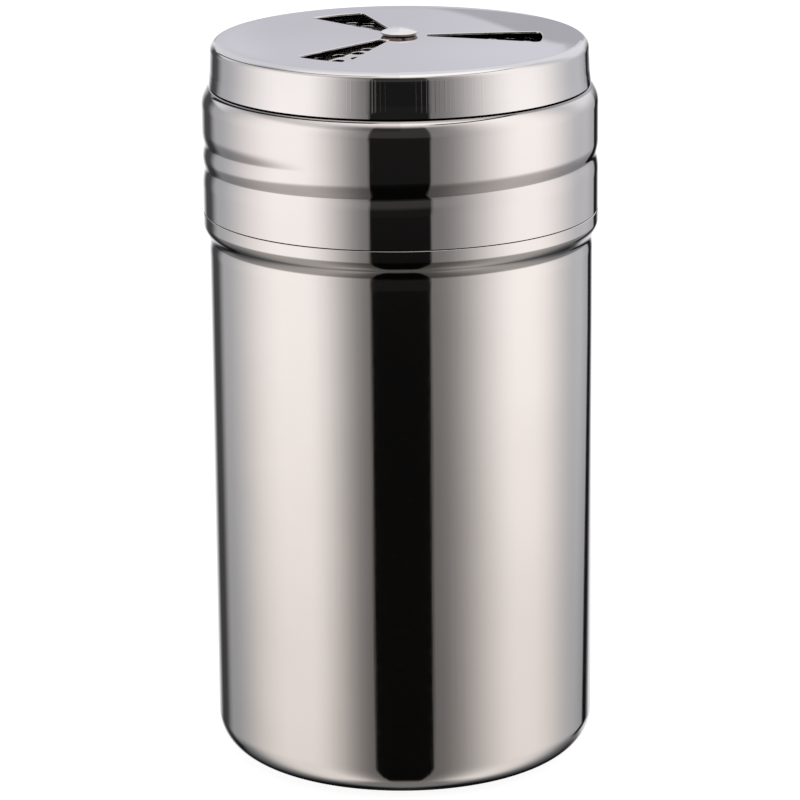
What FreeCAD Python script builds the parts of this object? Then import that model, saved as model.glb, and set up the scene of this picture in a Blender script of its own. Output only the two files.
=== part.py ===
import FreeCAD, Part

import math
import os

import Sketcher

# Spice shaker in drawn stainless sheet: a canister, a threaded lid with a perforated top, and a cap
# with three windows that turns on a rivet. The frame has +Z up, with its origin in the middle of the
# base, and the side that faces -Y is the front.

# Driving sizes, in millimetres and degrees
DRIVING_SIZES = {
    # Canister
    "body_radius": 34.0,
    "canister_wall": 0.4,
    "base_corner_radius": 6.0,
    "shoulder_height": 99.68,
    "waist_depth": 0.1,
    "waist_taper_length": 1.6,
    "bead_slope_length": 3.5,
    "bead_land_length": 1.68,
    "bead_edge_radius": 0.6,
    "neck_length": 19.6,
    # Band that the bead and the lid share, and the rolled thread
    "band_rise": 1.0,
    "thread_pitch": 4.2,
    "thread_depth": 0.5,
    "lid_thread_width": 2.9,
    "lid_thread_start": 6.65,
    "lid_thread_turns": 1.43,
    "neck_thread_width": 2.2,
    "neck_thread_turns": 1.25,
    "thread_clearance": 0.25,
    # Lid
    "lid_wall": 0.4,
    "seam_gap": 0.12,
    "lid_band_height": 22.1,
    "lid_shoulder_radius": 2.4,
    "boss_height": 6.0,
    "boss_corner_radius": 1.0,
    "sieve_crown": 1.6,
    "sieve_hole_radius": 1.1,
    "sieve_first_row": 10.1,
    "sieve_row_spacing": 3.1,
    "sieve_hole_spacing": 3.8,
    "sieve_turn": -3.0,
    # Cap
    "cap_setback": 1.76,
    "cap_wall": 0.4,
    "cap_edge_radius": 1.6,
    "cap_crown": 0.45,
    "cap_skirt_taper": 0.21,
    "cap_flare": 0.25,
    "cap_flare_height": 2.45,
    "cap_rim_gap": 0.15,
    "cap_side_gap": 0.44,
    "window_inner_radius": 4.9,
    "window_outer_radius": 25.1,
    "window_half_angle": 12.0,
    "window_corner_radius": 1.0,
    "window_turn": -2.7,
    "window_count": 3,
    # Rivet and washers
    "rivet_head_radius": 3.3,
    "rivet_head_height": 1.35,
    "rivet_head_edge": 0.5,
    "rivet_shank_radius": 1.5,
    "rivet_tail_radius": 2.6,
    "rivet_tail_height": 1.0,
    "rivet_bore_radius": 0.9,
    "rivet_bore_depth": 2.2,
    "turning_gap": 0.06,
    "shaft_clearance": 0.05,
    "spacer_radius": 4.0,
    "spacer_thickness": 0.28,
    "backing_radius": 4.5,
    "backing_thickness": 0.5,
}

# How many sieve holes stand in each row of one group, from the middle outwards
HOLES_IN_ROWS = (1, 1, 2, 3, 4)

# How far a cutting outline reaches past the sheet that it cuts
OVERCUT = 0.3


class Size:
    """A size with its number, and the formula over the sheet's cells that gives it."""

    def __init__(self, number, formula):
        self.number = number
        self.formula = formula

    def __add__(self, other):
        other = as_size(other)
        return Size(self.number + other.number, f"({self.formula} + {other.formula})")

    def __sub__(self, other):
        other = as_size(other)
        return Size(self.number - other.number, f"({self.formula} - {other.formula})")

    def __mul__(self, other):
        other = as_size(other)
        return Size(self.number * other.number, f"({self.formula} * {other.formula})")

    def __truediv__(self, other):
        other = as_size(other)
        return Size(self.number / other.number, f"({self.formula} / {other.formula})")

    def __neg__(self):
        return Size(-self.number, f"(0 - {self.formula})")


def as_size(value):
    """Read a plain number as a size."""
    if isinstance(value, Size):
        return value
    return Size(float(value), str(float(value)))


def cosine(angle):
    return Size(math.cos(math.radians(angle.number)), f"cos({angle.formula})")


def sine(angle):
    return Size(math.sin(math.radians(angle.number)), f"sin({angle.formula})")


def root(value):
    return Size(math.sqrt(value.number), f"sqrt({value.formula})")


def inverse_sine(ratio):
    return Size(math.degrees(math.asin(ratio.number)), f"(asin({ratio.formula}) / 1 deg)")


def arc_radius(half_width, depth):
    """Radius of the arc whose chord is twice half_width and whose height is depth."""
    return (half_width * half_width + depth * depth) / (depth * 2)


def make_sheet(doc):
    """Fill the sheet, and give each size by its name."""
    sheet = doc.addObject("Spreadsheet::Sheet", "Sizes")
    sizes = {}
    for row, (name, number) in enumerate(DRIVING_SIZES.items(), start=1):
        sheet.set(f"A{row}", name.replace("_", " "))
        sheet.set(f"B{row}", str(number))
        sheet.setAlias(f"B{row}", name)
        sizes[name] = Size(float(number), f"Sizes.{name}")
    doc.recompute()
    return sizes


def make_body(doc, name):
    """Start a sub-part."""
    body = doc.addObject("PartDesign::Body", name)
    body.Label = name
    return body


def make_sketch(body, plane_role, name):
    """Start a sketch on one of the body's origin planes."""
    sketch = body.newObject("Sketcher::SketchObject", name)
    plane = next(item for item in body.Origin.OriginFeatures if item.Role == plane_role)
    sketch.AttachmentSupport = [(plane, "")]
    sketch.MapMode = "FlatFace"
    return sketch


def hold(sketch, kind, *parts):
    """Add a dimension whose last part is a size, and tie it to the sheet."""
    size = as_size(parts[-1])
    index = sketch.addConstraint(Sketcher.Constraint(kind, *parts[:-1], size.number))
    sketch.setExpression(f"Constraints[{index}]", size.formula)


def hold_point(sketch, shape, end, across, along):
    """Hold one end of a sketch shape at its two coordinates."""
    origin = -1
    for kind, axis, size in (("DistanceX", -2, across), ("DistanceY", -1, along)):
        if size is AXIS:
            sketch.addConstraint(Sketcher.Constraint("PointOnObject", shape, end, axis))
        else:
            hold(sketch, kind, origin, 1, shape, end, size)


# Stands for a coordinate of nought, on the sketch's own axis
AXIS = Size(0.0, "0")

LEFT = 1
RIGHT = -1


def bend(radius, side):
    """An arc to the next corner that turns to the given side."""
    return radius, side


def arc_between(start, end, radius, side):
    """The short arc from start to end, and whether it had to be drawn from its end."""
    middle = (start + end) / 2
    chord = end - start
    across = FreeCAD.Vector(-chord.y, chord.x, 0).normalize() * side
    reach = math.sqrt(max(radius ** 2 - (chord.Length / 2) ** 2, 0.0))
    crown = middle + across * (reach - radius)
    if side == LEFT:
        return Part.Arc(start, crown, end), False
    return Part.Arc(end, crown, start), True


def draw_outline(sketch, corners):
    """Draw a closed outline. A corner is (across, along), or has a bend to the next corner as well."""
    ends = []
    for index, corner in enumerate(corners):
        following = corners[(index + 1) % len(corners)]
        start = FreeCAD.Vector(corner[0].number, corner[1].number, 0)
        end = FreeCAD.Vector(following[0].number, following[1].number, 0)
        if len(corner) == 2:
            shape = sketch.addGeometry(Part.LineSegment(start, end), False)
            ends.append((shape, 1, 2))
        else:
            radius, side = corner[2]
            arc, from_end = arc_between(start, end, radius.number, side)
            shape = sketch.addGeometry(arc, False)
            ends.append((shape, 2, 1) if from_end else (shape, 1, 2))
    for index, corner in enumerate(corners):
        shape, first, last = ends[index]
        next_shape, next_first, _ = ends[(index + 1) % len(corners)]
        sketch.addConstraint(Sketcher.Constraint("Coincident", shape, last, next_shape, next_first))
        hold_point(sketch, shape, first, corner[0], corner[1])
        if len(corner) == 3:
            hold(sketch, "Radius", shape, corner[2][0])


def revolve(body, name, corners):
    """Turn an outline in the XZ plane once about the Z axis."""
    sketch = make_sketch(body, "XZ_Plane", f"{name}_outline")
    draw_outline(sketch, corners)
    turned = body.newObject("PartDesign::Revolution", name)
    turned.Profile = sketch
    turned.ReferenceAxis = (sketch, ["V_Axis"])
    turned.Angle = 360
    body.Tip = turned
    return turned


def wind(body, kind, name, corners, pitch, turns):
    """Sweep an outline up a right-handed helix about Z, from the half plane of +Y."""
    sketch = make_sketch(body, "YZ_Plane", f"{name}_outline")
    draw_outline(sketch, corners)
    helix = body.newObject(kind, name)
    helix.Profile = sketch
    helix.ReferenceAxis = (sketch, ["V_Axis"])
    helix.Mode = "pitch-turns-angle"
    helix.LeftHanded = False
    helix.Reversed = False
    helix.setExpression("Pitch", pitch.formula)
    helix.setExpression("Turns", turns.formula)
    body.Tip = helix
    return helix


def cut_upwards(body, name, sketch, copies):
    """Cut a sketch in the XY plane up through the part, and repeat the cut round the Z axis."""
    cut = body.newObject("PartDesign::Pocket", name)
    cut.Profile = sketch
    cut.Type = "ThroughAll"
    cut.Reversed = True
    pattern = body.newObject("PartDesign::PolarPattern", f"{name}_pattern")
    pattern.Originals = [cut]
    pattern.Axis = (sketch, ["N_Axis"])
    pattern.Angle = 360
    pattern.setExpression("Occurrences", copies.formula)
    body.Tip = pattern
    return pattern


def thread_outline(surface, middle, half_width, depth, inwards, overlap):
    """A rounded thread, high or deep by depth, that starts from a cylinder and overlaps it a little."""
    radius = arc_radius(half_width, depth)
    low = middle - half_width
    high = middle + half_width
    if inwards:
        root_radius = surface + overlap
        return [
            (surface, high, bend(radius, LEFT)),
            (surface, low),
            (root_radius, low),
            (root_radius, high),
        ]
    root_radius = surface - overlap
    return [
        (surface, low, bend(radius, LEFT)),
        (surface, high),
        (root_radius, high),
        (root_radius, low),
    ]


def flowing_bend(start, end, first_side):
    """Corners for two equal arcs between upright ends: outwards or inwards as the line climbs."""
    across = end[0] - start[0]
    along = end[1] - start[1]
    radius = (across * across + along * along) / (across * 4)
    if radius.number < 0:
        radius = -radius
    middle = ((start[0] + end[0]) / 2, (start[1] + end[1]) / 2)
    return [
        (start[0], start[1], bend(radius, first_side)),
        (middle[0], middle[1], bend(radius, -first_side)),
    ]


class Radii:
    """Outer radii that several sub-parts share."""

    def __init__(self, size):
        self.body = size["body_radius"]
        self.band = self.body + size["band_rise"]
        self.cap = self.band - size["cap_setback"]
        self.boss = self.cap - size["cap_wall"] - size["cap_side_gap"]
        self.thread_crest = self.band - size["lid_wall"] - size["thread_clearance"]
        self.neck = self.thread_crest - size["thread_depth"]
        self.shaft_hole = size["rivet_shank_radius"] + size["shaft_clearance"]


class Heights:
    """Levels along Z that several sub-parts share."""

    def __init__(self, size):
        self.lid_bottom = size["shoulder_height"] + size["seam_gap"]
        self.ledge = self.lid_bottom + size["lid_band_height"]
        self.sieve_edge = self.ledge + size["boss_height"]
        self.sieve_top = self.sieve_edge + size["sieve_crown"]
        self.sieve_under = self.sieve_top - size["lid_wall"]
        self.spacer_bottom = self.sieve_top + size["turning_gap"]
        self.spacer_top = self.spacer_bottom + size["spacer_thickness"]
        self.cap_under = self.spacer_top + size["turning_gap"]
        self.cap_top = self.cap_under + size["cap_wall"]
        self.cap_rim = self.cap_top - size["cap_crown"]
        self.cap_bottom = self.ledge + size["cap_rim_gap"]
        self.head_bottom = self.cap_top + size["turning_gap"]
        self.backing_top = self.sieve_under - size["turning_gap"]
        self.backing_bottom = self.backing_top - size["backing_thickness"]
        self.tail_bottom = self.backing_bottom - size["rivet_tail_height"]
        self.neck_top = size["shoulder_height"] + size["neck_length"]
        self.lid_thread = self.lid_bottom + size["lid_thread_start"]
        self.neck_thread = self.lid_thread + size["thread_pitch"] / 2


def build_canister(doc, size, radius, height):
    """The drawn cup: flat base, straight side, a bead under the lid and the threaded neck."""
    body = make_body(doc, "canister")
    wall = size["canister_wall"]
    outer = radius.body
    corner = size["base_corner_radius"]
    base_flat = outer - corner
    waist = outer - size["waist_depth"]
    bead = radius.band
    edge = size["bead_edge_radius"]
    shoulder = size["shoulder_height"]
    neck = radius.neck
    bead_start = shoulder - size["bead_land_length"]
    waist_top = bead_start - size["bead_slope_length"]
    taper_start = waist_top - size["waist_taper_length"]
    waist_end = (waist, waist_top)
    bead_end = (bead, bead_start)
    inner_waist = (waist - wall, waist_top)
    inner_bead = (bead - wall, bead_start)
    corners = [
        (AXIS, AXIS),
        (base_flat, AXIS, bend(corner, LEFT)),
        (outer, corner),
        (outer, taper_start),
        *flowing_bend(waist_end, bead_end, RIGHT),
        bead_end,
        (bead, shoulder - edge, bend(edge, LEFT)),
        (bead - edge, shoulder),
        (neck, shoulder),
        (neck, height.neck_top),
        (neck - wall, height.neck_top),
        (neck - wall, shoulder - wall),
        (bead - edge, shoulder - wall, bend(edge - wall, RIGHT)),
        (bead - wall, shoulder - edge),
        *flowing_bend(inner_bead, inner_waist, RIGHT),
        inner_waist,
        (outer - wall, taper_start),
        (outer - wall, corner, bend(corner - wall, RIGHT)),
        (base_flat, wall),
        (AXIS, wall),
    ]
    revolve(body, "canister_cup", corners)
    depth = size["thread_depth"]
    half_width = size["neck_thread_width"] / 2
    ridge = thread_outline(neck, height.neck_thread, half_width, depth, False, wall / 2)
    pitch = size["thread_pitch"]
    turns = size["neck_thread_turns"]
    wind(body, "PartDesign::AdditiveHelix", "neck_thread", ridge, pitch, turns)
    inner = neck - wall
    hollow_half = half_width - wall / 2
    hollow = thread_outline(inner, height.neck_thread, hollow_half, depth, False, wall / 2)
    wind(body, "PartDesign::SubtractiveHelix", "neck_thread_hollow", hollow, pitch, turns)
    return body


def build_sieve_lid(doc, size, radius, height):
    """The drawn lid: threaded band, shoulder, raised boss and perforated top in one sheet."""
    body = make_body(doc, "sieve_lid")
    wall = size["lid_wall"]
    band = radius.band
    shoulder = size["lid_shoulder_radius"]
    boss = radius.boss
    corner = size["boss_corner_radius"]
    edge = boss - corner
    crown = arc_radius(edge, size["sieve_crown"])
    hole = radius.shaft_hole
    hole_drop = crown - root(crown * crown - hole * hole)
    corners = [
        (band - wall, height.lid_bottom),
        (band, height.lid_bottom),
        (band, height.ledge - shoulder, bend(shoulder, LEFT)),
        (band - shoulder, height.ledge),
        (boss, height.ledge),
        (boss, height.sieve_edge - corner, bend(corner, LEFT)),
        (edge, height.sieve_edge, bend(crown, LEFT)),
        (hole, height.sieve_top - hole_drop),
        (hole, height.sieve_under - hole_drop, bend(crown, RIGHT)),
        (edge, height.sieve_edge - wall, bend(corner - wall, RIGHT)),
        (boss - wall, height.sieve_edge - corner),
        (boss - wall, height.ledge - wall),
        (band - shoulder, height.ledge - wall, bend(shoulder - wall, RIGHT)),
        (band - wall, height.ledge - shoulder),
    ]
    revolve(body, "lid_shell", corners)
    pitch = size["thread_pitch"]
    turns = size["lid_thread_turns"]
    depth = size["thread_depth"]
    half_width = size["lid_thread_width"] / 2
    ridge_half = half_width + wall / 2
    ridge = thread_outline(band - wall, height.lid_thread, ridge_half, depth, True, wall / 2)
    wind(body, "PartDesign::AdditiveHelix", "lid_thread", ridge, pitch, turns)
    groove = thread_outline(band, height.lid_thread, half_width, depth, True, OVERCUT)
    wind(body, "PartDesign::SubtractiveHelix", "lid_thread_groove", groove, pitch, turns)
    sketch = make_sketch(body, "XY_Plane", "sieve_holes_outline")
    turn = size["sieve_turn"]
    for row, count in enumerate(HOLES_IN_ROWS):
        out = size["sieve_first_row"] + size["sieve_row_spacing"] * row
        for place in range(count):
            beside = size["sieve_hole_spacing"] * (place - (count - 1) / 2)
            across = out * cosine(turn) - beside * sine(turn)
            along = out * sine(turn) + beside * cosine(turn)
            centre = FreeCAD.Vector(across.number, along.number, 0)
            circle = Part.Circle(centre, FreeCAD.Vector(0, 0, 1), size["sieve_hole_radius"].number)
            shape = sketch.addGeometry(circle, False)
            hold_point(sketch, shape, 3, across, along)
            hold(sketch, "Radius", shape, size["sieve_hole_radius"])
    cut_upwards(body, "sieve_holes", sketch, size["window_count"])
    return body


def build_rotating_cap(doc, size, radius, height):
    """The drawn cap: slightly crowned top with windows, soft edge and a skirt that flares out."""
    body = make_body(doc, "rotating_cap")
    wall = size["cap_wall"]
    outer = radius.cap
    edge = size["cap_edge_radius"]
    top_edge = outer - edge
    crown = arc_radius(top_edge, size["cap_crown"])
    skirt_end = outer + size["cap_skirt_taper"]
    flare_end = skirt_end + size["cap_flare"]
    flare_height = size["cap_flare_height"]
    flare_top = height.cap_bottom + flare_height
    flare = arc_radius(flare_height, size["cap_flare"])
    hole = radius.shaft_hole
    hole_drop = crown - root(crown * crown - hole * hole)
    corners = [
        (hole, height.cap_under - hole_drop, bend(crown, RIGHT)),
        (top_edge, height.cap_rim - wall, bend(edge - wall, RIGHT)),
        (outer - wall, height.cap_rim - edge),
        (skirt_end - wall, flare_top, bend(flare, LEFT)),
        (flare_end - wall, height.cap_bottom),
        (flare_end, height.cap_bottom, bend(flare, RIGHT)),
        (skirt_end, flare_top),
        (outer, height.cap_rim - edge, bend(edge, LEFT)),
        (top_edge, height.cap_rim, bend(crown, LEFT)),
        (hole, height.cap_top - hole_drop),
    ]
    revolve(body, "cap_shell", corners)
    sketch = make_sketch(body, "XY_Plane", "windows_outline")
    turn = size["window_turn"]
    half = size["window_half_angle"]
    far = size["window_outer_radius"]
    near = size["window_inner_radius"]
    corner = size["window_corner_radius"]
    corner_reach = far - corner
    side_end = root(corner_reach * corner_reach - corner * corner)
    inset = inverse_sine(corner / corner_reach)

    def polar(radius, angle):
        return radius * cosine(turn + angle), radius * sine(turn + angle)

    draw_outline(sketch, [
        (*polar(near, -half),),
        (*polar(side_end, -half), bend(corner, LEFT)),
        (*polar(far, inset - half), bend(far, LEFT)),
        (*polar(far, half - inset), bend(corner, LEFT)),
        (*polar(side_end, half),),
        (*polar(near, half), bend(near, RIGHT)),
    ])
    cut_upwards(body, "windows", sketch, size["window_count"])
    return body


def build_pivot_rivet(doc, size, height):
    """The rivet that the lid and the cap turn on: low domed head, shank and clinched hollow tail."""
    body = make_body(doc, "pivot_rivet")
    head = size["rivet_head_radius"]
    shank = size["rivet_shank_radius"]
    tail = size["rivet_tail_radius"]
    bore = size["rivet_bore_radius"]
    edge = size["rivet_head_edge"]
    dome_height = size["rivet_head_height"] - edge
    dome = arc_radius(head, dome_height)
    head_top = height.head_bottom + size["rivet_head_height"]
    roll = size["rivet_tail_height"] / 2
    corners = [
        (AXIS, height.tail_bottom + size["rivet_bore_depth"]),
        (bore, height.tail_bottom + size["rivet_bore_depth"] - bore / 2),
        (bore, height.tail_bottom + roll, bend(roll, LEFT)),
        (bore + roll, height.tail_bottom),
        (tail - roll, height.tail_bottom, bend(roll, LEFT)),
        (tail, height.tail_bottom + roll, bend(roll, LEFT)),
        (tail - roll, height.backing_bottom),
        (shank, height.backing_bottom),
        (shank, height.head_bottom),
        (head, height.head_bottom),
        (head, height.head_bottom + edge, bend(dome, LEFT)),
        (AXIS, head_top),
    ]
    revolve(body, "rivet_turned", corners)
    return body


def build_washer(doc, name, hole, outer, bottom, top):
    """A flat washer with clearance on the rivet's shank."""
    body = make_body(doc, name)
    corners = [
        (hole, bottom),
        (outer, bottom),
        (outer, top),
        (hole, top),
    ]
    revolve(body, f"{name}_ring", corners)
    return body


def build_shaker(doc):
    """Build every sub-part in its place."""
    size = make_sheet(doc)
    radius = Radii(size)
    height = Heights(size)
    hole = radius.shaft_hole
    spacer = (size["spacer_radius"], height.spacer_bottom, height.spacer_top)
    backing = (size["backing_radius"], height.backing_bottom, height.backing_top)
    return [
        build_canister(doc, size, radius, height),
        build_sieve_lid(doc, size, radius, height),
        build_rotating_cap(doc, size, radius, height),
        build_pivot_rivet(doc, size, height),
        build_washer(doc, "spacer_washer", hole, *spacer),
        build_washer(doc, "backing_washer", hole, *backing),
    ]


def check_document(doc, bodies):
    """Stop if any object failed or any sub-part isn't one sound solid."""
    for item in doc.Objects:
        if "Invalid" in item.State or "Error" in item.State:
            raise RuntimeError(f"{item.Name} failed: {item.State}")
    for body in bodies:
        shape = body.Shape
        if shape.isNull() or not shape.isValid() or len(shape.Solids) != 1:
            raise RuntimeError(f"{body.Label} isn't one sound solid")


def main():
    doc = FreeCAD.newDocument("spice_shaker")
    bodies = build_shaker(doc)
    doc.recompute()
    check_document(doc, bodies)
    os.makedirs("parts", exist_ok=True)
    for body in bodies:
        body.Shape.exportStep(f"parts/{body.Label}.step")
        box = body.Shape.BoundBox
        print(f"{body.Label}: volume {body.Shape.Volume:.1f} mm3, z {box.ZMin:.2f} to {box.ZMax:.2f}")


main()
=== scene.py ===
import math

import bpy
import numpy as np
from mathutils import Euler, Matrix, Vector
from mathutils.geometry import delaunay_2d_cdt


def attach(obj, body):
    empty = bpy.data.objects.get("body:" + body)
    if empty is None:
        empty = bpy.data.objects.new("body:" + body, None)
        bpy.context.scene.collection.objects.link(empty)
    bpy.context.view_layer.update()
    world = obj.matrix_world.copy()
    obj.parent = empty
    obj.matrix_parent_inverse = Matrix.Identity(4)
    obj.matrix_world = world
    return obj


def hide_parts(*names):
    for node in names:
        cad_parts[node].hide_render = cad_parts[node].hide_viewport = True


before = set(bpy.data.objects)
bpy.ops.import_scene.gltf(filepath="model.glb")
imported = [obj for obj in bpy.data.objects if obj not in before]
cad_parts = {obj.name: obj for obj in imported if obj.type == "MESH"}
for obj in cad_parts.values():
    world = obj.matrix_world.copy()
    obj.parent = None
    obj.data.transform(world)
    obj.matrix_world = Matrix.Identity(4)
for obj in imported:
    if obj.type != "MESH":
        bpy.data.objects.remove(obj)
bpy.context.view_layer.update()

# Looks for the spice shaker: fine shells of the drawn steel sheets, their polished materials, a
# studio that the steel reflects, and the camera. Sizes are in millimetres until a mesh is made.

MM = 0.001
COLUMNS = 720

# Canister
BODY_RADIUS = 34.0
CANISTER_WALL = 0.4
BASE_CORNER = 6.0
SHOULDER_Z = 99.68
WAIST_DEPTH = 0.1
WAIST_TAPER = 1.6
BEAD_SLOPE = 3.3
BEAD_LAND = 1.95
BEAD_EDGE = 0.22
NECK_RADIUS = 33.85
NECK_TOP = 119.28

# Lid and its rolled thread
BAND_RADIUS = 35.0
LID_WALL = 0.4
LID_BOTTOM = 99.73
LEDGE_Z = 121.9
SHOULDER_DROP = 1.57
SHOULDER_SETBACK = 1.42
SHOULDER_RADII = (4.5, 0.8)
BOSS_RADIUS = 32.4
BOSS_CORNER = 1.0
SIEVE_EDGE_RADIUS = 31.4
SIEVE_EDGE_Z = 127.9
SIEVE_TOP_Z = 129.5
PITCH = 4.2
LID_THREAD_Z = 106.45
LID_THREAD_TURNS = 1.46
THREAD_DEPTH = 0.5
GROOVE_DEPTH = 0.36
GROOVE_ABOVE = 2.4
GROOVE_BELOW = 2.6
GROOVE_ROUNDING = 0.4
NECK_THREAD_TURNS = 1.25
RIDGE_REACH = 1.2
THREAD_START = 90.0
FADE_IN = 24.0
FADE_OUT = 60.0

# Sieve holes and cap windows
HOLES_IN_ROWS = (1, 1, 2, 3, 4)
HOLE_RADIUS = 1.1
HOLE_FIRST_ROW = 10.1
HOLE_ROW_STEP = 3.1
HOLE_STEP = 3.8
HOLE_TURN = -3.0
WINDOW_NEAR = 4.9
WINDOW_FAR = 25.1
WINDOW_HALF_ANGLE = 12.0
WINDOW_CORNER = 1.0
WINDOW_TURN = -2.7
GROUPS = 3

# Cap, rivet and the hole round the rivet's shank
CAP_WALL = 0.4
CAP_EDGE = 1.6
CAP_TOP_RADIUS = 31.64
CAP_RIM_Z = 129.85
CAP_TOP_Z = 130.3
CAP_BOTTOM_Z = 122.05
CAP_RADIUS = 33.24
CAP_SKIRT_RADIUS = 33.45
CAP_FLARE_RADIUS = 33.7
CAP_FLARE_HEIGHT = 2.45
SHAFT_HOLE = 1.55
HEAD_RADIUS = 3.3
HEAD_EDGE = 0.5
HEAD_UNDERCUT = 0.35
HEAD_BOTTOM = 130.36
HEAD_TOP = 131.71
SHANK_RADIUS = 1.5
TAIL_RADIUS = 2.6
TAIL_TOP = 128.54
TAIL_BOTTOM = 127.54
BORE_RADIUS = 0.9
BORE_TOP = 129.74

# Rounding of a cut sheet edge, and of the burnished window edges
CUT_EDGE = 0.08
WINDOW_EDGE = 0.17

# Finishes: colours, with dark colours of painted shade on the lid's ledge, the cap's underside and the
# rivet's side;
# how far the painted shade darkens downward sides of rolled marks; and heights in metres
CANISTER_COLOUR = (0.78, 0.76, 0.74)
LID_COLOUR = (0.78, 0.76, 0.75)
CAP_COLOUR = (0.78, 0.77, 0.77)
RIVET_COLOUR = (0.95, 0.93, 0.9)
WASHER_COLOUR = (0.6, 0.6, 0.6)
LEDGE_PAINTED_SHADE = (0.38, 0.365, 0.355, 1.0)
CAP_UNDERSIDE_SHADE_COLOUR = (0.3, 0.31, 0.28, 1.0)
RIVET_SIDE_SHADE_COLOUR = (0.2, 0.16, 0.145, 1.0)
CANISTER_SHADE = 0.46
LID_SHADE = 0.57
SHADE_START = (0.09, 0.092)
SIEVE_START = (0.1272, 0.1277)
LEDGE_FROM = (0.12135, 0.12155)
LEDGE_TO = (0.1226, 0.1224)
SKIRT_FROM = (0.1226, 0.1236)
SKIRT_TO = (0.1291, 0.1284)
RIVET_SIDE = (0.13092, 0.13084)
MARK_DEPTH = 0.00002


class Shell:
    """Collects the points, outward directions and faces of one piece."""

    def __init__(self):
        self.points = []
        self.normals = []
        self.faces = []

    def add(self, points, normals):
        """Add points, and give their numbers."""
        first = len(self.points)
        self.points.extend(points)
        self.normals.extend(normals)
        return list(range(first, len(self.points)))

    def join(self, ring, following):
        """Faces between two closed rings of the same count."""
        count = len(ring)
        for here in range(count):
            after = (here + 1) % count
            self.faces.append((ring[here], ring[after], following[after], following[here]))

    def fan(self, ring, middle, upwards):
        """Faces from a closed ring to one point."""
        count = len(ring)
        for here in range(count):
            after = (here + 1) % count
            if upwards:
                self.faces.append((ring[here], ring[after], middle))
            else:
                self.faces.append((ring[after], ring[here], middle))

    def make(self, name):
        """Make the object, in metres, with its outward directions as they were worked out."""
        mesh = bpy.data.meshes.new(name)
        mesh.from_pydata([tuple(MM * value for value in point) for point in self.points], [], self.faces)
        mesh.polygons.foreach_set("use_smooth", [True] * len(mesh.polygons))
        mesh.normals_split_custom_set_from_vertices([tuple(normal) for normal in self.normals])
        piece = bpy.data.objects.new(name, mesh)
        bpy.context.scene.collection.objects.link(piece)
        return piece


def rounded(corners, closed=False, step_angle=6.0):
    """Points and right-hand directions along a line whose corners (x, y, radius) are rounded."""
    points = []
    normals = []
    count = len(corners)
    for index, (x, y, radius) in enumerate(corners):
        corner = Vector((x, y))
        before = Vector(corners[index - 1][:2]) - corner if closed or index else None
        after = Vector(corners[(index + 1) % count][:2]) - corner if closed or index < count - 1 else None
        if before is None or after is None:
            run = after if before is None else -before
            points.append(corner)
            normals.append(Vector((run.y, -run.x)).normalized())
            continue
        into = -before.normalized()
        out = after.normalized()
        turn = math.atan2(into.x * out.y - into.y * out.x, into.dot(out))
        if radius == 0.0 or abs(turn) < 1e-4:
            run = (into + out).normalized()
            points.append(corner)
            normals.append(Vector((run.y, -run.x)))
            continue
        reach = radius * math.tan(abs(turn) / 2)
        start = corner - into * reach
        side = math.copysign(1.0, turn)
        centre = start + Vector((-into.y, into.x)) * radius * side
        steps = max(3, math.ceil(math.degrees(abs(turn)) / step_angle))
        for step in range(steps + 1):
            normal = Matrix.Rotation(turn * step / steps, 2) @ Vector((into.y, -into.x))
            point = centre + normal * radius * side
            if points and (point - points[-1]).length < 1e-4:
                continue
            points.append(point)
            normals.append(normal)
    return points, normals


def divided(points, normals, longest):
    """Put more points on the straight runs, none longer than given."""
    new_points = [points[0]]
    new_normals = [normals[0]]
    for index in range(1, len(points)):
        start, end = points[index - 1], points[index]
        parts = max(1, math.ceil((end - start).length / longest))
        for part in range(1, parts + 1):
            share = part / parts
            new_points.append(start.lerp(end, share))
            new_normals.append(normals[index - 1].lerp(normals[index], share).normalized())
    return new_points, new_normals


def sheet_path(points, normals, wall):
    """Outer line, rounded rim and inner line of a sheet whose outer line is given."""
    inner = [point - normal * wall for point, normal in zip(points, normals)]
    inner_normals = [-normal for normal in normals]
    half = wall / 2
    middle = points[-1] - normals[-1] * half
    ahead = Vector((-normals[-1].y, normals[-1].x))
    rim = []
    rim_normals = []
    for step in range(1, 8):
        angle = math.pi * step / 8
        across = normals[-1] * math.cos(angle)
        rim.append(middle + across * half + ahead * CUT_EDGE * math.sin(angle))
        rim_normals.append(across + ahead * math.sin(angle))
    return list(points) + rim + inner[::-1], list(normals) + rim_normals + inner_normals[::-1]


def thread_bump(angle, z, start_z, turns, above, below):
    """How far a rolled thread stands from the wall, from 0 to 1, at angles in degrees and a height."""
    total = np.zeros_like(angle)
    length = 360.0 * turns
    for lap in (0.0, 360.0):
        along = (angle - THREAD_START) % 360.0 + lap
        fade_in = np.clip(along / FADE_IN, 0.0, 1.0)
        fade_out = np.clip((length - along) / FADE_OUT, 0.0, 1.0)
        fade = fade_in * fade_in * (3 - 2 * fade_in) * fade_out * fade_out * (3 - 2 * fade_out)
        offset = z - start_z - PITCH * along / 360.0
        reach = np.where(offset > 0.0, above, below)
        away = np.sqrt(offset ** 2 + GROOVE_ROUNDING ** 2) - GROOVE_ROUNDING
        total += fade * (1 - np.clip(away / reach, 0.0, 1.0)) ** 2
    return total


def lid_groove(angle, z):
    bump = thread_bump(angle, z, LID_THREAD_Z, LID_THREAD_TURNS, GROOVE_ABOVE, GROOVE_BELOW)
    return -GROOVE_DEPTH * bump


def neck_ridge(angle, z):
    start = LID_THREAD_Z + PITCH / 2
    return THREAD_DEPTH * thread_bump(angle, z, start, NECK_THREAD_TURNS, RIDGE_REACH, RIDGE_REACH)


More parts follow.
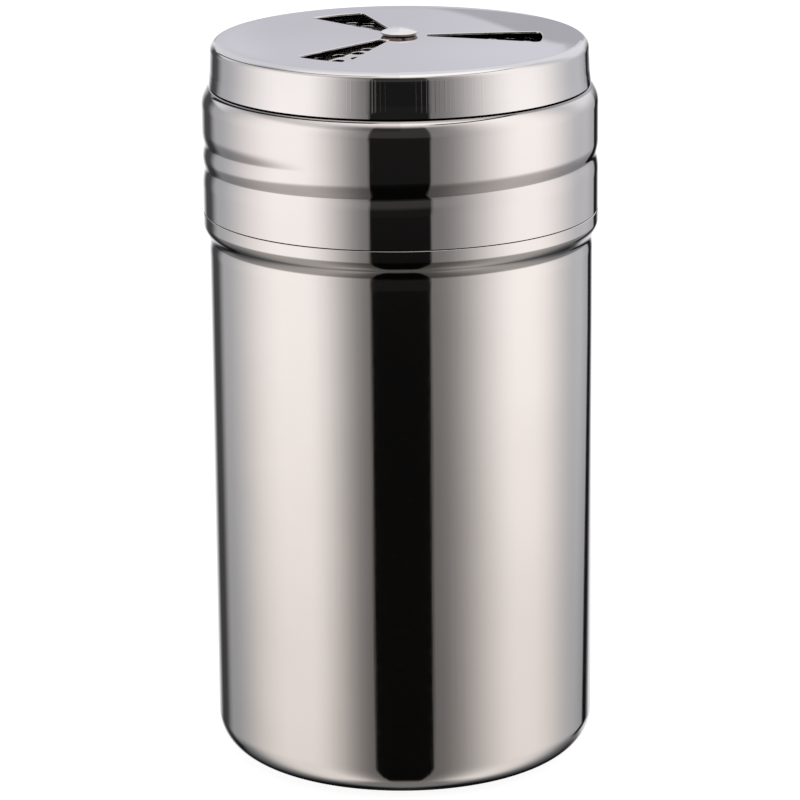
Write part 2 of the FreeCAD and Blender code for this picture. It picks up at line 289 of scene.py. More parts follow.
def turned_rings(shell, path, normals, relief=None, relief_zone=(0.0, 0.0)):
    """Turn a path once about Z into rings. A relief (angle, z) moves the zone of the wall in or out."""
    angle = np.arange(COLUMNS) * 360.0 / COLUMNS
    cosine = np.cos(np.radians(angle))
    sine = np.sin(np.radians(angle))
    rings = []
    for point, normal in zip(path, normals):
        radius, z = point
        across, along = normal
        rise = np.zeros(COLUMNS)
        slope_z = np.zeros(COLUMNS)
        slope_a = np.zeros(COLUMNS)
        if relief and relief_zone[0] < z < relief_zone[1]:
            step = 0.05
            rise = relief(angle, z)
            slope_z = (relief(angle, z + step) - relief(angle, z - step)) / (2 * step)
            turn = 0.25
            slope_a = (relief(angle + turn, z) - relief(angle - turn, z)) / math.radians(2 * turn) / radius
        out = radius + rise
        normal_out = np.full(COLUMNS, across)
        normal_up = along - across * slope_z
        normal_side = -across * slope_a
        length = np.sqrt(normal_out ** 2 + normal_up ** 2 + normal_side ** 2)
        normal_x = (normal_out * cosine - normal_side * sine) / length
        normal_y = (normal_out * sine + normal_side * cosine) / length
        points = np.column_stack((out * cosine, out * sine, np.full(COLUMNS, z)))
        directions = np.column_stack((normal_x, normal_y, normal_up / length))
        rings.append(shell.add(points.tolist(), directions.tolist()))
    for ring, following in zip(rings, rings[1:]):
        shell.join(ring, following)
    return rings


def dome_height(radius, edge_radius, edge_z, top_z):
    """Height of a spherical dome at a radius, and its slope there."""
    rise = top_z - edge_z
    sphere = (edge_radius ** 2 + rise ** 2) / (2 * rise)
    level = math.sqrt(sphere ** 2 - radius ** 2)
    return top_z - sphere + level, -radius / level


def hole_loop(centre, radius, count):
    """A round hole's points and the directions into the hole."""
    points = []
    normals = []
    for index in range(count):
        angle = 2 * math.pi * index / count
        direction = Vector((math.cos(angle), math.sin(angle)))
        points.append(Vector(centre) + direction * radius)
        normals.append(-direction)
    return points, normals


def window_loop(turn):
    """A wedge window's points and the directions into the window."""
    half = math.radians(WINDOW_HALF_ANGLE)
    corners = []
    for step in range(9):
        angle = half - 2 * half * step / 8
        radius = 0.15 if step in (0, 8) else 0.0
        corners.append((WINDOW_NEAR * math.cos(angle), WINDOW_NEAR * math.sin(angle), radius))
    for step in range(17):
        angle = -half + 2 * half * step / 16
        radius = WINDOW_CORNER * 0.93 if step in (0, 16) else 0.0
        if step in (1, 15):
            continue
        corners.append((WINDOW_FAR * math.cos(angle), WINDOW_FAR * math.sin(angle), radius))
    points, normals = rounded(corners, closed=True, step_angle=10.0)
    points, normals = divided(points + points[:1], normals + normals[:1], 0.8)
    spin = Matrix.Rotation(math.radians(turn), 2)
    return [spin @ point for point in points[:-1]], [-(spin @ normal) for normal in normals[:-1]]


def sieve_centres():
    """Middles of the sieve holes."""
    centres = []
    for group in range(GROUPS):
        spin = Matrix.Rotation(math.radians(HOLE_TURN + 360.0 * group / GROUPS), 2)
        for row, count in enumerate(HOLES_IN_ROWS):
            for place in range(count):
                beside = HOLE_STEP * (place - (count - 1) / 2)
                centres.append(spin @ Vector((HOLE_FIRST_ROW + HOLE_ROW_STEP * row, beside)))
    return centres


def inside(loop, point):
    """Whether a point lies in a closed loop."""
    crossings = False
    for index in range(len(loop)):
        a, b = loop[index - 1], loop[index]
        if (a.y > point.y) != (b.y > point.y):
            if point.x < (b.x - a.x) * (point.y - a.y) / (b.y - a.y) + a.x:
                crossings = not crossings
    return crossings


def pierced_dome(shell, outer_radius, wall, loops, cut, edge_z, top_z, top_ring, bottom_ring):
    """A domed round sheet with holes, between two rings that are there already."""
    rim = [Vector((shell.points[number][0], shell.points[number][1])) for number in top_ring]
    plan = list(rim)
    edges = [(index, (index + 1) % len(rim)) for index in range(len(rim))]
    widened = []
    for points, normals in loops:
        loop = [point - normal * cut for point, normal in zip(points, normals)]
        first = len(plan)
        plan.extend(loop)
        edges.extend((first + index, first + (index + 1) % len(loop)) for index in range(len(loop)))
        widened.append((first, loop, normals))
    centre_of = [sum(loop, Vector((0.0, 0.0))) / len(loop) for _, loop, _ in widened]
    reach_of = [max((point - centre).length for point in loop)
                for centre, (_, loop, _) in zip(centre_of, widened)]

    def in_a_hole(point):
        for centre, reach, (_, loop, _) in zip(centre_of, reach_of, widened):
            if (point - centre).length < reach and inside(loop, point):
                return True
        return False

    spacing = 1.7
    rings = int(outer_radius / spacing)
    for ring in range(2, rings):
        radius = outer_radius * ring / rings
        count = max(24, int(2 * math.pi * radius / spacing))
        for index in range(count):
            angle = 2 * math.pi * (index + 0.5 * (ring % 2)) / count
            point = Vector((radius * math.cos(angle), radius * math.sin(angle)))
            near = any((point - other).length < 0.35 for _, loop, _ in widened for other in loop)
            if not near and not in_a_hole(point):
                plan.append(point)
    found = delaunay_2d_cdt(plan, edges, [], 0, 1e-7)
    corners, triangles, sources = found[0], found[2], found[3]
    top = {}
    bottom = {}
    for number, source in enumerate(sources):
        ring_place = [index for index in source if index < len(rim)]
        if ring_place:
            top[number] = top_ring[ring_place[0]]
            bottom[number] = bottom_ring[ring_place[0]]
            continue
        corner = corners[number]
        radius = corner.length
        height, slope = dome_height(radius, outer_radius, edge_z, top_z)
        out = corner / radius if radius > 0 else Vector((0.0, 0.0))
        normal = Vector((-slope * out.x, -slope * out.y, 1.0)).normalized()
        low = (corner.x, corner.y, height - wall)
        top[number] = shell.add([(corner.x, corner.y, height)], [tuple(normal)])[0]
        bottom[number] = shell.add([low], [tuple(-normal)])[0]
    for triangle in triangles:
        middle = sum((corners[number] for number in triangle), Vector((0.0, 0.0))) / 3
        if not in_a_hole(middle):
            shell.faces.append(tuple(top[number] for number in triangle))
            shell.faces.append(tuple(bottom[number] for number in reversed(triangle)))
    number_of = {index: number for number, source in enumerate(sources) for index in source}
    for first, loop, normals in widened:
        numbers = [number_of[first + index] for index in range(len(loop))]
        pierced_edge(shell, loop, normals, [top[n] for n in numbers], [bottom[n] for n in numbers], wall, cut)


def pierced_edge(shell, loop, normals, top, bottom, wall, cut):
    """The rounded cut edge of one hole through a sheet, between its top and bottom rings."""
    rings = [top]
    heights = [shell.points[number][2] for number in top]
    turns = (15.0, 30.0, 45.0, 60.0, 75.0, 90.0)
    places = [(math.sin(math.radians(t)), 1 - math.cos(math.radians(t)), t) for t in turns]
    drops = [(out * cut, drop * cut, t) for out, drop, t in places]
    drops += [(out, wall - drop, 180.0 - t) for out, drop, t in reversed(drops)]
    for out, drop, tilt in drops:
        points = []
        directions = []
        for point, normal, height in zip(loop, normals, heights):
            place = point + normal * out
            points.append((place.x, place.y, height - drop))
            flat = normal * math.sin(math.radians(tilt))
            directions.append((flat.x, flat.y, math.cos(math.radians(tilt))))
        rings.append(shell.add(points, directions))
    rings.append(bottom)
    for ring, following in zip(rings, rings[1:]):
        shell.join(ring, following)


def build_canister():
    """The cup: rounded base, straight side, waist, bead, shoulder and threaded neck."""
    waist = BODY_RADIUS - WAIST_DEPTH
    bead_start = SHOULDER_Z - BEAD_LAND
    waist_top = bead_start - BEAD_SLOPE
    across = BAND_RADIUS - waist
    bend = (across ** 2 + BEAD_SLOPE ** 2) / (4 * across)
    reach = bend * math.tan(math.asin(BEAD_SLOPE / 2 / bend) / 2)
    corners = [
        (2.0, 0.0, 0.0),
        (BODY_RADIUS, 0.0, BASE_CORNER),
        (BODY_RADIUS, waist_top - WAIST_TAPER, 12.0),
        (waist, waist_top - 0.3, 8.0),
        (waist, waist_top + reach, bend),
        (BAND_RADIUS, bead_start - reach, bend),
        (BAND_RADIUS, SHOULDER_Z, BEAD_EDGE),
        (NECK_RADIUS, SHOULDER_Z, 0.3),
        (NECK_RADIUS, NECK_TOP - CUT_EDGE, 0.0),
    ]
    points, normals = rounded(corners, step_angle=4.0)
    neck_first = next(index for index, point in enumerate(points) if point.y > SHOULDER_Z + 0.25)
    neck, neck_normals = divided(points[neck_first:], normals[neck_first:], 0.2)
    points, normals = divided(points[:neck_first], normals[:neck_first], 3.0)
    path, path_normals = sheet_path(points + neck, normals + neck_normals, CANISTER_WALL)
    shell = Shell()
    zone = (SHOULDER_Z + 1.0, NECK_TOP - 0.6)
    rings = turned_rings(shell, path, path_normals, neck_ridge, zone)
    shell.fan(rings[0], shell.add([(0, 0, 0)], [(0, 0, -1)])[0], False)
    shell.fan(rings[-1], shell.add([(0, 0, CANISTER_WALL)], [(0, 0, 1)])[0], True)
    return shell.make("canister_shell")


def build_sieve_lid():
    """The lid: sieve top, boss, ledge, shoulder and band with its rolled groove."""
    corners = [
        (BOSS_RADIUS, SIEVE_EDGE_Z, BOSS_CORNER),
        (BOSS_RADIUS, LEDGE_Z, 0.3),
        (BAND_RADIUS - SHOULDER_SETBACK, LEDGE_Z, SHOULDER_RADII[1]),
        (BAND_RADIUS, LEDGE_Z - SHOULDER_DROP, SHOULDER_RADII[0]),
        (BAND_RADIUS, LID_BOTTOM + CUT_EDGE, 0.0),
    ]
    _, slope = dome_height(SIEVE_EDGE_RADIUS, SIEVE_EDGE_RADIUS, SIEVE_EDGE_Z, SIEVE_TOP_Z)
    start = (SIEVE_EDGE_RADIUS - 0.3, SIEVE_EDGE_Z - 0.3 * slope, 0.0)
    points, normals = rounded([start] + corners, step_angle=5.0)
    normals = [-normal for normal in normals]
    thread_top = LID_THREAD_Z + PITCH * LID_THREAD_TURNS + GROOVE_ABOVE
    band = next(index for index, point in enumerate(points) if point.y < thread_top + 5.0)
    side, side_normals = divided(points[band:], normals[band:], 0.16)
    path, path_normals = sheet_path(points[:band] + side, normals[:band] + side_normals, LID_WALL)
    shell = Shell()
    zone = (LID_BOTTOM + 0.2, thread_top)
    rings = turned_rings(shell, path[::-1], path_normals[::-1], lid_groove, zone)
    loops = [hole_loop((0, 0), SHAFT_HOLE, 32)]
    loops += [hole_loop(centre, HOLE_RADIUS, 32) for centre in sieve_centres()]
    edge = path[0].x
    level, _ = dome_height(edge, SIEVE_EDGE_RADIUS, SIEVE_EDGE_Z, SIEVE_TOP_Z)
    pierced_dome(shell, edge, LID_WALL, loops, CUT_EDGE, level, SIEVE_TOP_Z, rings[-1], rings[0])
    return shell.make("sieve_lid_shell")


def build_rotating_cap():
    """The cap: crowned top with windows, soft edge, and a skirt that flares at its rim."""
    flare_top = CAP_BOTTOM_Z + CAP_FLARE_HEIGHT
    start_radius = CAP_TOP_RADIUS - 0.3
    level, _ = dome_height(start_radius, CAP_TOP_RADIUS, CAP_RIM_Z, CAP_TOP_Z)
    corners = [
        (start_radius, level, 0.0),
        (CAP_RADIUS, CAP_RIM_Z, CAP_EDGE),
        (CAP_SKIRT_RADIUS, flare_top, 9.0),
        (CAP_FLARE_RADIUS, CAP_BOTTOM_Z + CUT_EDGE, 0.0),
    ]
    points, normals = rounded(corners, step_angle=3.0)
    normals = [-normal for normal in normals]
    points, normals = divided(points, normals, 1.0)
    path, path_normals = sheet_path(points, normals, CAP_WALL)
    shell = Shell()
    rings = turned_rings(shell, path[::-1], path_normals[::-1])
    loops = [hole_loop((0, 0), SHAFT_HOLE, 32)]
    loops += [window_loop(WINDOW_TURN + 360.0 * group / GROUPS) for group in range(GROUPS)]
    pierced_dome(
        shell, start_radius, CAP_WALL, loops, WINDOW_EDGE, level, CAP_TOP_Z, rings[-1], rings[0])
    return shell.make("rotating_cap_shell")


def build_rivet():
    """The rivet: low domed head with a soft edge, shank and clinched hollow tail."""
    dome_rise = HEAD_TOP - HEAD_BOTTOM - HEAD_EDGE
    sphere = (HEAD_RADIUS ** 2 + dome_rise ** 2) / (2 * dome_rise)
    corners = [(0.05, HEAD_TOP, 0.0)]
    for step in range(1, 16):
        radius = (HEAD_RADIUS - 0.12) * step / 15
        height = HEAD_TOP - sphere + math.sqrt(sphere ** 2 - radius ** 2)
        corners.append((radius, height, 0.0))
    corners += [
        (HEAD_RADIUS, HEAD_BOTTOM + HEAD_EDGE, 0.1),
        (HEAD_RADIUS - HEAD_UNDERCUT, HEAD_BOTTOM, 0.06),
        (SHANK_RADIUS, HEAD_BOTTOM, 0.1),
        (SHANK_RADIUS, TAIL_TOP, 0.1),
        (TAIL_RADIUS, TAIL_TOP, 0.4),
        (TAIL_RADIUS, TAIL_BOTTOM, 0.4),
        (BORE_RADIUS, TAIL_BOTTOM, 0.4),
        (BORE_RADIUS, BORE_TOP - 0.4, 0.1),
        (0.05, BORE_TOP, 0.0),
    ]
    points, normals = rounded(corners, step_angle=10.0)
    normals = [-normal for normal in normals]
    shell = Shell()
    rings = turned_rings(shell, points[::-1], normals[::-1])
    shell.fan(rings[-1], shell.add([(0, 0, HEAD_TOP)], [(0, 0, 1)])[0], True)
    shell.fan(rings[0], shell.add([(0, 0, BORE_TOP)], [(0, 0, -1)])[0], False)
    return shell.make("pivot_rivet_head")


class Nodes:
    """A node tree with short calls for the nodes that the materials share."""

    def __init__(self, tree):
        self.tree = tree
        tree.nodes.clear()

    def new(self, kind, **settings):
        node = self.tree.nodes.new(kind)
        for name, value in settings.items():
            setattr(node, name, value)
        return node

    def link(self, source, target):
        self.tree.links.new(source, target)

    def fill(self, socket, value):
        if isinstance(value, bpy.types.NodeSocket):
            self.link(value, socket)
        else:
            socket.default_value = value

    def maths(self, operation, *values):
        node = self.new("ShaderNodeMath", operation=operation)
        for socket, value in zip(node.inputs, values):
            self.fill(socket, value)
        return node.outputs[0]

    def between(self, value, start, end, low=0.0, high=1.0):
        """A soft step from low to high as value goes from start to end."""
        node = self.new("ShaderNodeMapRange", interpolation_type="SMOOTHSTEP")
        for socket, number in zip(node.inputs, (value, start, end, low, high)):
            self.fill(socket, number)
        return node.outputs[0]

    def noise(self, vector, scale, detail=2.0, roughness=0.5):
        node = self.new("ShaderNodeTexNoise")
        self.fill(node.inputs["Vector"], vector)
        node.inputs["Scale"].default_value = scale
        node.inputs["Detail"].default_value = detail
        node.inputs["Roughness"].default_value = roughness
        return node.outputs["Fac"]

    def stretched(self, vector, x, y, z):
        node = self.new("ShaderNodeMapping")
        self.fill(node.inputs["Vector"], vector)
        node.inputs["Scale"].default_value = (x, y, z)
        return node.outputs["Vector"]

    def blend_colour(self, share, first, second):
        node = self.new("ShaderNodeMix", data_type="RGBA")
        self.fill(node.inputs[0], share)
        self.fill(node.inputs[6], first)
        self.fill(node.inputs[7], second)
        return node.outputs[2]

    def blend(self, share, first, second):
        node = self.new("ShaderNodeMix", data_type="FLOAT")
        self.fill(node.inputs[0], share)
        self.fill(node.inputs[2], first)
        self.fill(node.inputs[3], second)
        return node.outputs[0]


def steel(name, colour, roughness, drawing, part=None):
    """Polished drawn stainless steel: faint upright drawing marks, soft clouds and rubbing, and what
    one part alone has: painted shade on rolled marks and on the ledge, a scored skirt with a matt
    underside darkened by painted shade, or painted shade on the rivet's side."""
    material = bpy.data.materials.new(name)
    material.use_nodes = True
    nodes = Nodes(material.node_tree)
    output = nodes.new("ShaderNodeOutputMaterial")
    shader = nodes.new("ShaderNodeBsdfPrincipled")
    shader.inputs["Metallic"].default_value = 1.0
    place = nodes.new("ShaderNodeTexCoord").outputs["Object"]
    split = nodes.new("ShaderNodeSeparateXYZ")
    nodes.link(place, split.inputs[0])
    height = split.outputs["Z"]
    upright = nodes.stretched(place, 1.0, 1.0, 0.02)
    streaks = nodes.noise(upright, 900.0, 3.0, 0.6)
    clouds = nodes.noise(place, 45.0, 3.0)
    rub = nodes.noise(place, 420.0, 4.0, 0.7)
    deeper = tuple(0.965 * value for value in colour)
    tone = nodes.blend_colour(nodes.between(clouds, 0.3, 0.7), (*deeper, 1.0), (*colour, 1.0))
    worn = nodes.between(rub, 0.35, 0.75, roughness, 1.5 * roughness)
    marks = nodes.maths("MULTIPLY", streaks, drawing)
    facing = nodes.new("ShaderNodeSeparateXYZ")
    nodes.link(nodes.new("ShaderNodeTexCoord").outputs["Normal"], facing.inputs[0])
    # Painted shade: the downward sides of the rolled groove and bead are darkened in the base colour.
    if part in ("canister", "lid"):
        rolled = nodes.between(facing.outputs["Z"], -0.02, -0.12)
        rolled = nodes.maths("MULTIPLY", rolled, nodes.between(height, *SHADE_START))
        shade = CANISTER_SHADE if part == "canister" else LID_SHADE
        shaded = tuple(shade * value for value in colour)
        tone = nodes.blend_colour(rolled, tone, (*shaded, 1.0))
    if part == "lid":
        smooth = nodes.between(height, *SIEVE_START, 1.0, 0.0)
        marks = nodes.maths("MULTIPLY", marks, smooth)
        # Painted shade: a band of the ledge just under the cap's skirt is darkened in the base colour.
        ledge = nodes.maths(
            "MULTIPLY", nodes.between(height, *LEDGE_FROM), nodes.between(height, *LEDGE_TO))
        tone = nodes.blend_colour(ledge, tone, LEDGE_PAINTED_SHADE)
    if part == "cap":
        skirt = nodes.maths(
            "MULTIPLY", nodes.between(height, *SKIRT_FROM), nodes.between(height, *SKIRT_TO))
        round_skirt = nodes.new("ShaderNodeVectorMath", operation="NORMALIZE")
        nodes.link(nodes.stretched(place, 1.0, 1.0, 0.0), round_skirt.inputs[0])
        lines = nodes.noise(round_skirt.outputs[0], 85.0, 3.0, 0.75)
        scored = nodes.maths("MULTIPLY", nodes.between(lines, 0.52, 0.7), skirt)
        marks = nodes.maths("ADD", marks, nodes.maths("MULTIPLY", scored, 0.2))
        worn = nodes.maths("ADD", worn, nodes.maths("MULTIPLY", scored, 0.12))
        # The cap's underside is matt and barely metallic; its dark grey-green colour is painted shade of the
        # narrow gap under the cap.
        under = nodes.between(facing.outputs["Z"], -0.3, -0.6)
        marks = nodes.maths("MULTIPLY", marks, nodes.between(under, 0.0, 1.0, 1.0, 0.0))
        worn = nodes.blend(under, worn, 0.6)
        tone = nodes.blend_colour(under, tone, CAP_UNDERSIDE_SHADE_COLOUR)
        nodes.link(nodes.between(under, 0.0, 1.0, 1.0, 0.2), shader.inputs["Metallic"])
    if part == "rivet":
        # Painted shade: the lower, undercut side of the rivet's head is darkened in the base colour.
        side = nodes.between(height, *RIVET_SIDE)
        tone = nodes.blend_colour(side, tone, RIVET_SIDE_SHADE_COLOUR)
    bump = nodes.new("ShaderNodeBump")
    bump.inputs["Strength"].default_value = 1.0
    bump.inputs["Distance"].default_value = MARK_DEPTH
    nodes.link(marks, bump.inputs["Height"])
    nodes.link(bump.outputs["Normal"], shader.inputs["Normal"])
    nodes.link(tone, shader.inputs["Base Color"])
    nodes.link(worn, shader.inputs["Roughness"])
    nodes.link(shader.outputs[0], output.inputs["Surface"])
    return material


# Studio that the steel reflects, by direction from the object: degrees, and levels of light
LEFT_GAP = 18.1
RIGHT_GAP = 17.4
GAP_LEVEL = 0.0045
PANEL_LOW = 0.19
PANEL_LEVEL = 1.1
LEFT_RISE = (17.0, 60.0)
RIGHT_RISE = (18.5, 75.5)
LEFT_FALL = (73.0, 134.0)
RIGHT_FALL = (82.0, 128.0)
LEFT_REAR = 0.44
RIGHT_REAR = 0.57
LEFT_FLAG = (132.0, 146.0, 0.06)
RIGHT_FLAG = (150.5, 154.0, 0.005)
LEFT_RIM = (153.0, 171.5)
RIGHT_RIM = (159.5, 174.0)
LEFT_LOWEST = -37.0
RIGHT_LOWEST = -30.0
RIM_LEVEL = 1.05
RIGHT_FLAG_LEAN = 9.5
RIGHT_EBB = 0.76
TOP_LEVEL = 1.2
TOP_REAR_LEVEL = 0.88
HIGH_LEFT_LEVEL = 0.65
SUNK_LEVEL = 0.02
GROUND_LEVEL = 0.2
LEFT_FRAME = (69.0, 44.6, 2.27, 3.0)
RIGHT_FRAME = (57.0, 12.0, 2.0, 2.0)
LEFT_FRAME_END = (146.0, 152.0)
RIGHT_FRAME_END = (92.0, 115.0)
FRAME_DARKNESS = 0.88
PATCH_LEVEL = 0.46
LOW_TINT = (1.07, 1.0, 0.965, 1.0)
WARM_TINT = (1.052, 1.0, 0.986, 1.0)
COOL_TINT = (1.0, 1.0, 1.045, 1.0)
BACKDROP_TINT = (1.0, 0.985, 1.075, 1.0)
STUDIO_RADIUS = 20.0

# Floor
FLOOR_SIZE = 12.0
FLOOR_Z = -0.0001
FLOOR_GREY = 0.35
FLOOR_GLOW = 0.86

# The photograph's camera, fitted to the shaker's outline
CAMERA_LENS = 178.72
CAMERA_SENSOR = 36.0
CAMERA_SHIFT = (-0.0030, -0.00096)
CAMERA_TILT = 15.675
CAMERA_LEAN = -0.5
CAMERA_PLACE = (0.0, -0.68814, 0.25702)


def studio_side(nodes, azimuth, leaning, gap, rise, fall, rear, ebb):
    """Level of light on one side, from the dark gap in front round to the weaker light behind."""
    front = nodes.between(azimuth, gap - 1.2, gap + 1.2, 0.0, PANEL_LOW)
    panel = nodes.between(azimuth, *rise, 0.0, PANEL_LEVEL - PANEL_LOW)
    drop = nodes.between(azimuth, *fall, 0.0, PANEL_LEVEL - rear)
    level = nodes.maths("SUBTRACT", nodes.maths("ADD", front, panel), drop)
    return nodes.maths("MULTIPLY", level, nodes.between(leaning, 134.0, 152.0, 1.0, ebb))


def studio_flag(nodes, level, leaning, elevation, flag, rim, lowest):
    """The dark flag and the bright rim light behind it, which both end at a lowest elevation."""
    reach = nodes.between(elevation, lowest, lowest + 5.0)
    dark = nodes.maths("MULTIPLY", nodes.between(leaning, flag[0], flag[1]), reach)
    bright = nodes.maths("MULTIPLY", nodes.between(leaning, *rim), reach)
    return nodes.blend(bright, nodes.blend(dark, level, flag[2]), RIM_LEVEL)


def panel_frame(nodes, azimuth, elevation, apex, drop, power, half):
    """The thin dark frame between the side light and the overhead light: 1 on it, 0 beside it."""
    share = nodes.maths("DIVIDE", azimuth, 133.0)
    fall = nodes.maths("MULTIPLY", nodes.maths("POWER", share, power), drop)
    away = nodes.maths("SUBTRACT", nodes.maths("ADD", elevation, fall), apex)
    return nodes.between(nodes.maths("ABSOLUTE", away), 0.6 * half, 1.4 * half, 1.0, 0.0)


def side_lights(nodes, azimuth, elevation, on_right):
    """Both sides with their flags and rim lights, and the dark gap in front."""
    lean = nodes.maths("MULTIPLY", nodes.maths("SUBTRACT", -14.4, elevation), RIGHT_FLAG_LEAN / 5.7)
    lean = nodes.maths("MAXIMUM", nodes.maths("MINIMUM", lean, 2 * RIGHT_FLAG_LEAN), 0.0)
    behind = nodes.between(azimuth, 62.0, 95.0)
    leaning = nodes.maths("ADD", azimuth, nodes.maths("MULTIPLY", lean, behind))
    left = studio_side(nodes, azimuth, azimuth, LEFT_GAP, LEFT_RISE, LEFT_FALL, LEFT_REAR, 1.0)
    left = studio_flag(nodes, left, azimuth, elevation, LEFT_FLAG, LEFT_RIM, LEFT_LOWEST)
    right = studio_side(nodes, azimuth, leaning, RIGHT_GAP, RIGHT_RISE, RIGHT_FALL, RIGHT_REAR, RIGHT_EBB)
    right = studio_flag(nodes, right, leaning, elevation, RIGHT_FLAG, RIGHT_RIM, RIGHT_LOWEST)
    level = nodes.blend(on_right, left, right)
    return nodes.maths("ADD", level, nodes.between(elevation, -15.0, -11.0, GAP_LEVEL, 2.5 * GAP_LEVEL))


def low_light(nodes, level, azimuth, elevation):
    """The level where the table's dark takes over, from the lower walls down to straight below."""
    below = nodes.between(elevation, -21.0, -13.5, 0.79, 1.0)
    deepest = nodes.between(azimuth, 95.0, 165.0, 0.95, 0.015)
    deep = nodes.between(elevation, -34.0, -22.0, deepest, 1.0)
    level = nodes.maths("MULTIPLY", level, nodes.maths("MULTIPLY", below, deep))
    sunk = nodes.maths(
        "MULTIPLY", nodes.between(azimuth, 172.0, 177.0), nodes.between(elevation, -12.0, -17.0))
    level = nodes.blend(sunk, level, SUNK_LEVEL)
    level = nodes.blend(nodes.between(elevation, -64.0, -80.0), level, GROUND_LEVEL)
    glimmer = nodes.maths(
        "MULTIPLY", nodes.between(elevation, -1.0, 8.0, 0.0, 0.03), nodes.between(azimuth, 40.0, 20.0))
    return nodes.maths("ADD", level, glimmer)


def high_light(nodes, level, azimuth, elevation, on_right):
    """The level with the light behind, the overhead light and the thin dark frames."""
    on_left = nodes.between(on_right, 1.0, 0.0)
    high_left = nodes.maths("MULTIPLY", nodes.between(elevation, 22.0, 42.0), on_left)
    level = nodes.maths("MULTIPLY", level, nodes.between(high_left, 0.0, 1.0, 1.0, HIGH_LEFT_LEVEL))
    rear = nodes.between(elevation, nodes.blend(on_right, 8.0, -8.0), 14.0)
    rear = nodes.maths("MULTIPLY", rear, nodes.between(azimuth, 112.0, 136.0))
    level = nodes.blend(rear, level, nodes.blend(on_right, 0.76, 0.86))
    overhead = nodes.between(elevation, 42.0, 64.0)
    strip = nodes.between(azimuth, 118.0, 140.0, 1.0, 0.0)
    overhead_level = nodes.blend(strip, TOP_REAR_LEVEL, nodes.blend(on_right, 1.02, TOP_LEVEL))
    level = nodes.blend(overhead, level, overhead_level)
    left_frame = panel_frame(nodes, azimuth, elevation, *LEFT_FRAME)
    left_frame = nodes.maths("MULTIPLY", left_frame, nodes.between(azimuth, *LEFT_FRAME_END, 1.0, 0.0))
    right_frame = panel_frame(nodes, azimuth, elevation, *RIGHT_FRAME)
    right_frame = nodes.maths("MULTIPLY", right_frame, nodes.between(azimuth, *RIGHT_FRAME_END, 1.0, 0.0))
    edging = nodes.maths("MULTIPLY", nodes.blend(on_right, left_frame, right_frame), FRAME_DARKNESS)
    edging = nodes.maths("MULTIPLY", edging, nodes.between(azimuth, 14.0, 34.0))
    return nodes.maths("MULTIPLY", level, nodes.between(edging, 0.0, 1.0, 1.0, 0.0))


def backdrop_light(nodes, azimuth, elevation, drift):
    """Where the backdrop is, and its level with the darker patch that the cap's top reflects."""
    place = nodes.maths(
        "MULTIPLY", nodes.between(azimuth, 165.0, 171.0), nodes.between(elevation, -1.0, 4.0))
    place = nodes.maths("MULTIPLY", place, nodes.between(elevation, 22.0, 32.0, 1.0, 0.0))
    level = nodes.maths(
        "ADD", nodes.between(elevation, 8.5, 13.5, 0.61, 0.66), nodes.between(drift, -0.5, 2.5, 0.0, 0.065))
    level = nodes.maths("ADD", level, nodes.between(drift, -2.2, -3.2, 0.0, 0.05))
    edge = nodes.between(drift, 0.2, 3.3, 7.25, 11.7)
    patch = nodes.between(nodes.maths("SUBTRACT", elevation, edge), -0.3, 0.3, 1.0, 0.0)
    return place, nodes.blend(patch, level, PATCH_LEVEL)


def build_studio():
    """A wide sphere whose inner side glows as the studio does. Only reflections and light see it."""
    material = bpy.data.materials.new("studio_light")
    material.use_nodes = True
    nodes = Nodes(material.node_tree)
    output = nodes.new("ShaderNodeOutputMaterial")
    glow = nodes.new("ShaderNodeEmission")
    place = nodes.new("ShaderNodeTexCoord").outputs["Object"]
    straight = nodes.new("ShaderNodeVectorMath", operation="NORMALIZE")
    nodes.link(place, straight.inputs[0])
    split = nodes.new("ShaderNodeSeparateXYZ")
    nodes.link(straight.outputs[0], split.inputs[0])
    across, along, up = split.outputs
    degree = 180.0 / math.pi
    front = nodes.maths("MULTIPLY", along, -1.0)
    azimuth = nodes.maths("ARCTAN2", nodes.maths("ABSOLUTE", across), front)
    azimuth = nodes.maths("MULTIPLY", azimuth, degree)
    elevation = nodes.maths("MULTIPLY", nodes.maths("ARCSINE", up), degree)
    drift = nodes.maths("MULTIPLY", nodes.maths("ARCTAN2", across, along), degree)
    on_right = nodes.maths("GREATER_THAN", across, 0.0)

    level = side_lights(nodes, azimuth, elevation, on_right)
    level = low_light(nodes, level, azimuth, elevation)
    level = high_light(nodes, level, azimuth, elevation, on_right)
    backdrop, backdrop_level = backdrop_light(nodes, azimuth, elevation, drift)
    level = nodes.blend(backdrop, level, backdrop_level)

    warm = nodes.blend_colour(nodes.between(elevation, -21.0, -13.0), LOW_TINT, WARM_TINT)
    cool = nodes.blend_colour(nodes.between(azimuth, 96.0, 128.0), warm, COOL_TINT)
    nodes.link(nodes.blend_colour(backdrop, cool, BACKDROP_TINT), glow.inputs["Color"])
    nodes.link(level, glow.inputs["Strength"])
    nodes.link(glow.outputs[0], output.inputs["Surface"])
    bpy.ops.mesh.primitive_uv_sphere_add(segments=64, ring_count=32, radius=STUDIO_RADIUS)
    studio = bpy.context.object
    studio.name = "studio"
    studio.data.materials.append(material)
    studio.visible_camera = False
    material.cycles.emission_sampling = "NONE"


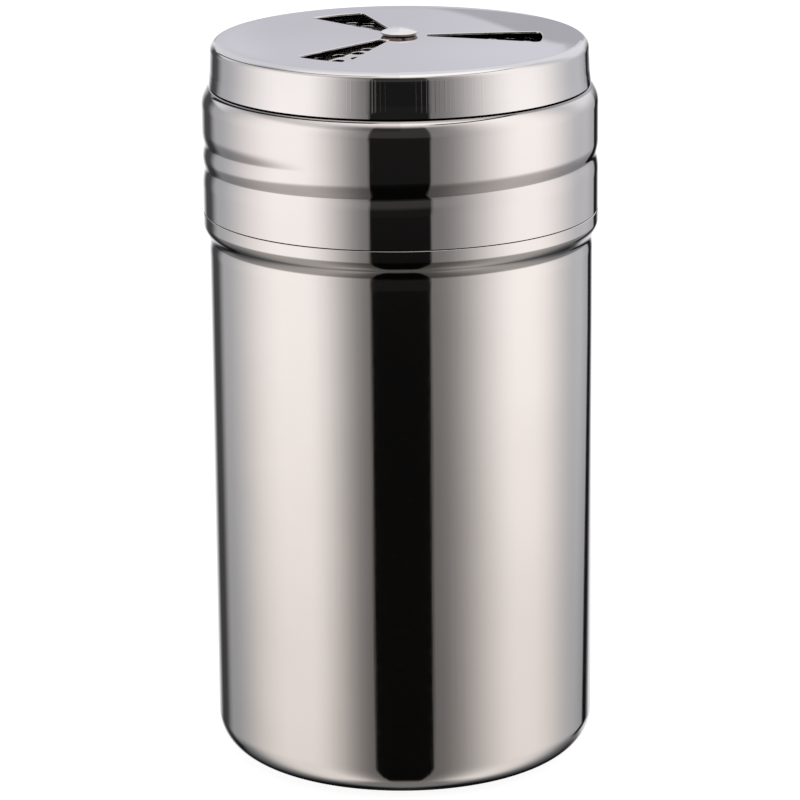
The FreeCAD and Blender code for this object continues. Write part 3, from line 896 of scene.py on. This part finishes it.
def build_floor():
    """A plain white floor with a soft shadow under the shaker."""
    material = bpy.data.materials.new("white_floor")
    material.use_nodes = True
    nodes = Nodes(material.node_tree)
    output = nodes.new("ShaderNodeOutputMaterial")
    matt = nodes.new("ShaderNodeBsdfDiffuse")
    matt.inputs["Color"].default_value = (FLOOR_GREY, FLOOR_GREY, FLOOR_GREY, 1.0)
    glow = nodes.new("ShaderNodeEmission")
    paths = nodes.new("ShaderNodeLightPath")
    seen = nodes.maths("MAXIMUM", paths.outputs["Is Camera Ray"], paths.outputs["Is Glossy Ray"])
    seen = nodes.maths("MAXIMUM", seen, paths.outputs["Is Transmission Ray"])
    nodes.link(nodes.maths("MULTIPLY", seen, FLOOR_GLOW), glow.inputs["Strength"])
    both = nodes.new("ShaderNodeAddShader")
    nodes.link(matt.outputs[0], both.inputs[0])
    nodes.link(glow.outputs[0], both.inputs[1])
    nodes.link(both.outputs[0], output.inputs["Surface"])
    bpy.ops.mesh.primitive_plane_add(size=FLOOR_SIZE, location=(0, 0, FLOOR_Z))
    floor = bpy.context.object
    floor.name = "floor"
    floor.data.materials.append(material)
    floor.visible_glossy = False


def build_world():
    """Plain white beyond the floor."""
    world = bpy.data.worlds.new("white_room")
    bpy.context.scene.world = world
    world.use_nodes = True
    background = world.node_tree.nodes["Background"]
    background.inputs["Color"].default_value = (1.0, 1.0, 1.0, 1.0)
    background.inputs["Strength"].default_value = 1.0


def build_camera():
    """The photograph's camera."""
    data = bpy.data.cameras.new("camera")
    data.lens = CAMERA_LENS
    data.sensor_width = CAMERA_SENSOR
    data.shift_x, data.shift_y = CAMERA_SHIFT
    data.clip_start = 0.05
    data.clip_end = 50.0
    camera = bpy.data.objects.new("camera", data)
    tilt = Euler((math.radians(90.0 - CAMERA_TILT), 0.0, 0.0)).to_matrix()
    lean = Matrix.Rotation(math.radians(CAMERA_LEAN), 3, "Z")
    camera.rotation_euler = (tilt @ lean).to_euler()
    camera.location = CAMERA_PLACE
    bpy.context.scene.collection.objects.link(camera)
    bpy.context.scene.camera = camera


def dress(piece, body, node, material):
    """Tie a piece to its body, the node that it stands for and its finish."""
    piece.data.materials.append(material)
    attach(piece, body)
    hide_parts(node)


def build_shaker():
    canister_steel = steel("canister_steel", CANISTER_COLOUR, 0.05, 0.25, part="canister")
    lid_steel = steel("lid_steel", LID_COLOUR, 0.035, 0.2, part="lid")
    cap_steel = steel("cap_steel", CAP_COLOUR, 0.016, 0.1, part="cap")
    rivet_steel = steel("rivet_steel", RIVET_COLOUR, 0.08, 0.1, part="rivet")
    washer_steel = steel("washer_steel", WASHER_COLOUR, 0.3, 0.4)
    dress(build_canister(), "canister", "canister", canister_steel)
    dress(build_sieve_lid(), "lid", "sieve_lid", lid_steel)
    dress(build_rotating_cap(), "cap", "rotating_cap", cap_steel)
    dress(build_rivet(), "pivot", "pivot_rivet", rivet_steel)
    for name in ("spacer_washer", "backing_washer"):
        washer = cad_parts[name]
        washer.data.materials.clear()
        washer.data.materials.append(washer_steel)


build_shaker()
build_studio()
build_floor()
build_world()
build_camera()
scene = bpy.context.scene
scene.view_settings.view_transform = "Standard"
